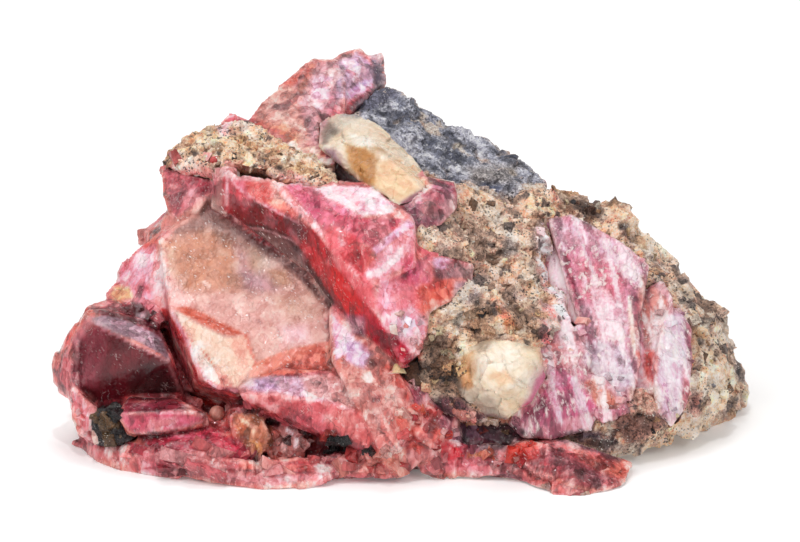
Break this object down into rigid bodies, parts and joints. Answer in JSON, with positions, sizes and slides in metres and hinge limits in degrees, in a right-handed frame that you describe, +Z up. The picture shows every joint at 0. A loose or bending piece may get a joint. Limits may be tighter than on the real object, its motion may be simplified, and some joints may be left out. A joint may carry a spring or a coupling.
{
  "type": "rough rhodonite specimen",
  "caption": "Rough mineral hand specimen: intergrown pink and red crystals in speckled host rock, with honey and cream quartz and a dark grey cap.",
  "frame": {"origin": "centre of the stone's footprint box, on the surface that it rests on", "axes": "+Z up, +X to the viewer's right along the stone's longest side, +Y away from the viewer of the pictured front"},
  "size_m": [0.0689, 0.0423, 0.034],
  "materials": {
    "rhodonite": "glassy broken crystal",
    "fibrous_rhodonite": "silky, with white dusting",
    "host_rock": "granular, speckled black and cream",
    "grey_cap": "fine-grained, slightly metallic",
    "honey_quartz": "waxy, translucent",
    "cream_quartz": "waxy",
    "black_crystals": "shiny black with ochre crust"
  },
  "bodies": {
    "root": {"rhodonite_crystals": "rhodonite", "rhodonite_panel": "fibrous_rhodonite", "host_rock": "host_rock", "speckled_band": "host_rock", "grey_cap": "grey_cap", "honey_quartz": "honey_quartz", "cream_quartz": "cream_quartz", "black_crystals": "black_crystals"}
  },
  "joints": []
}
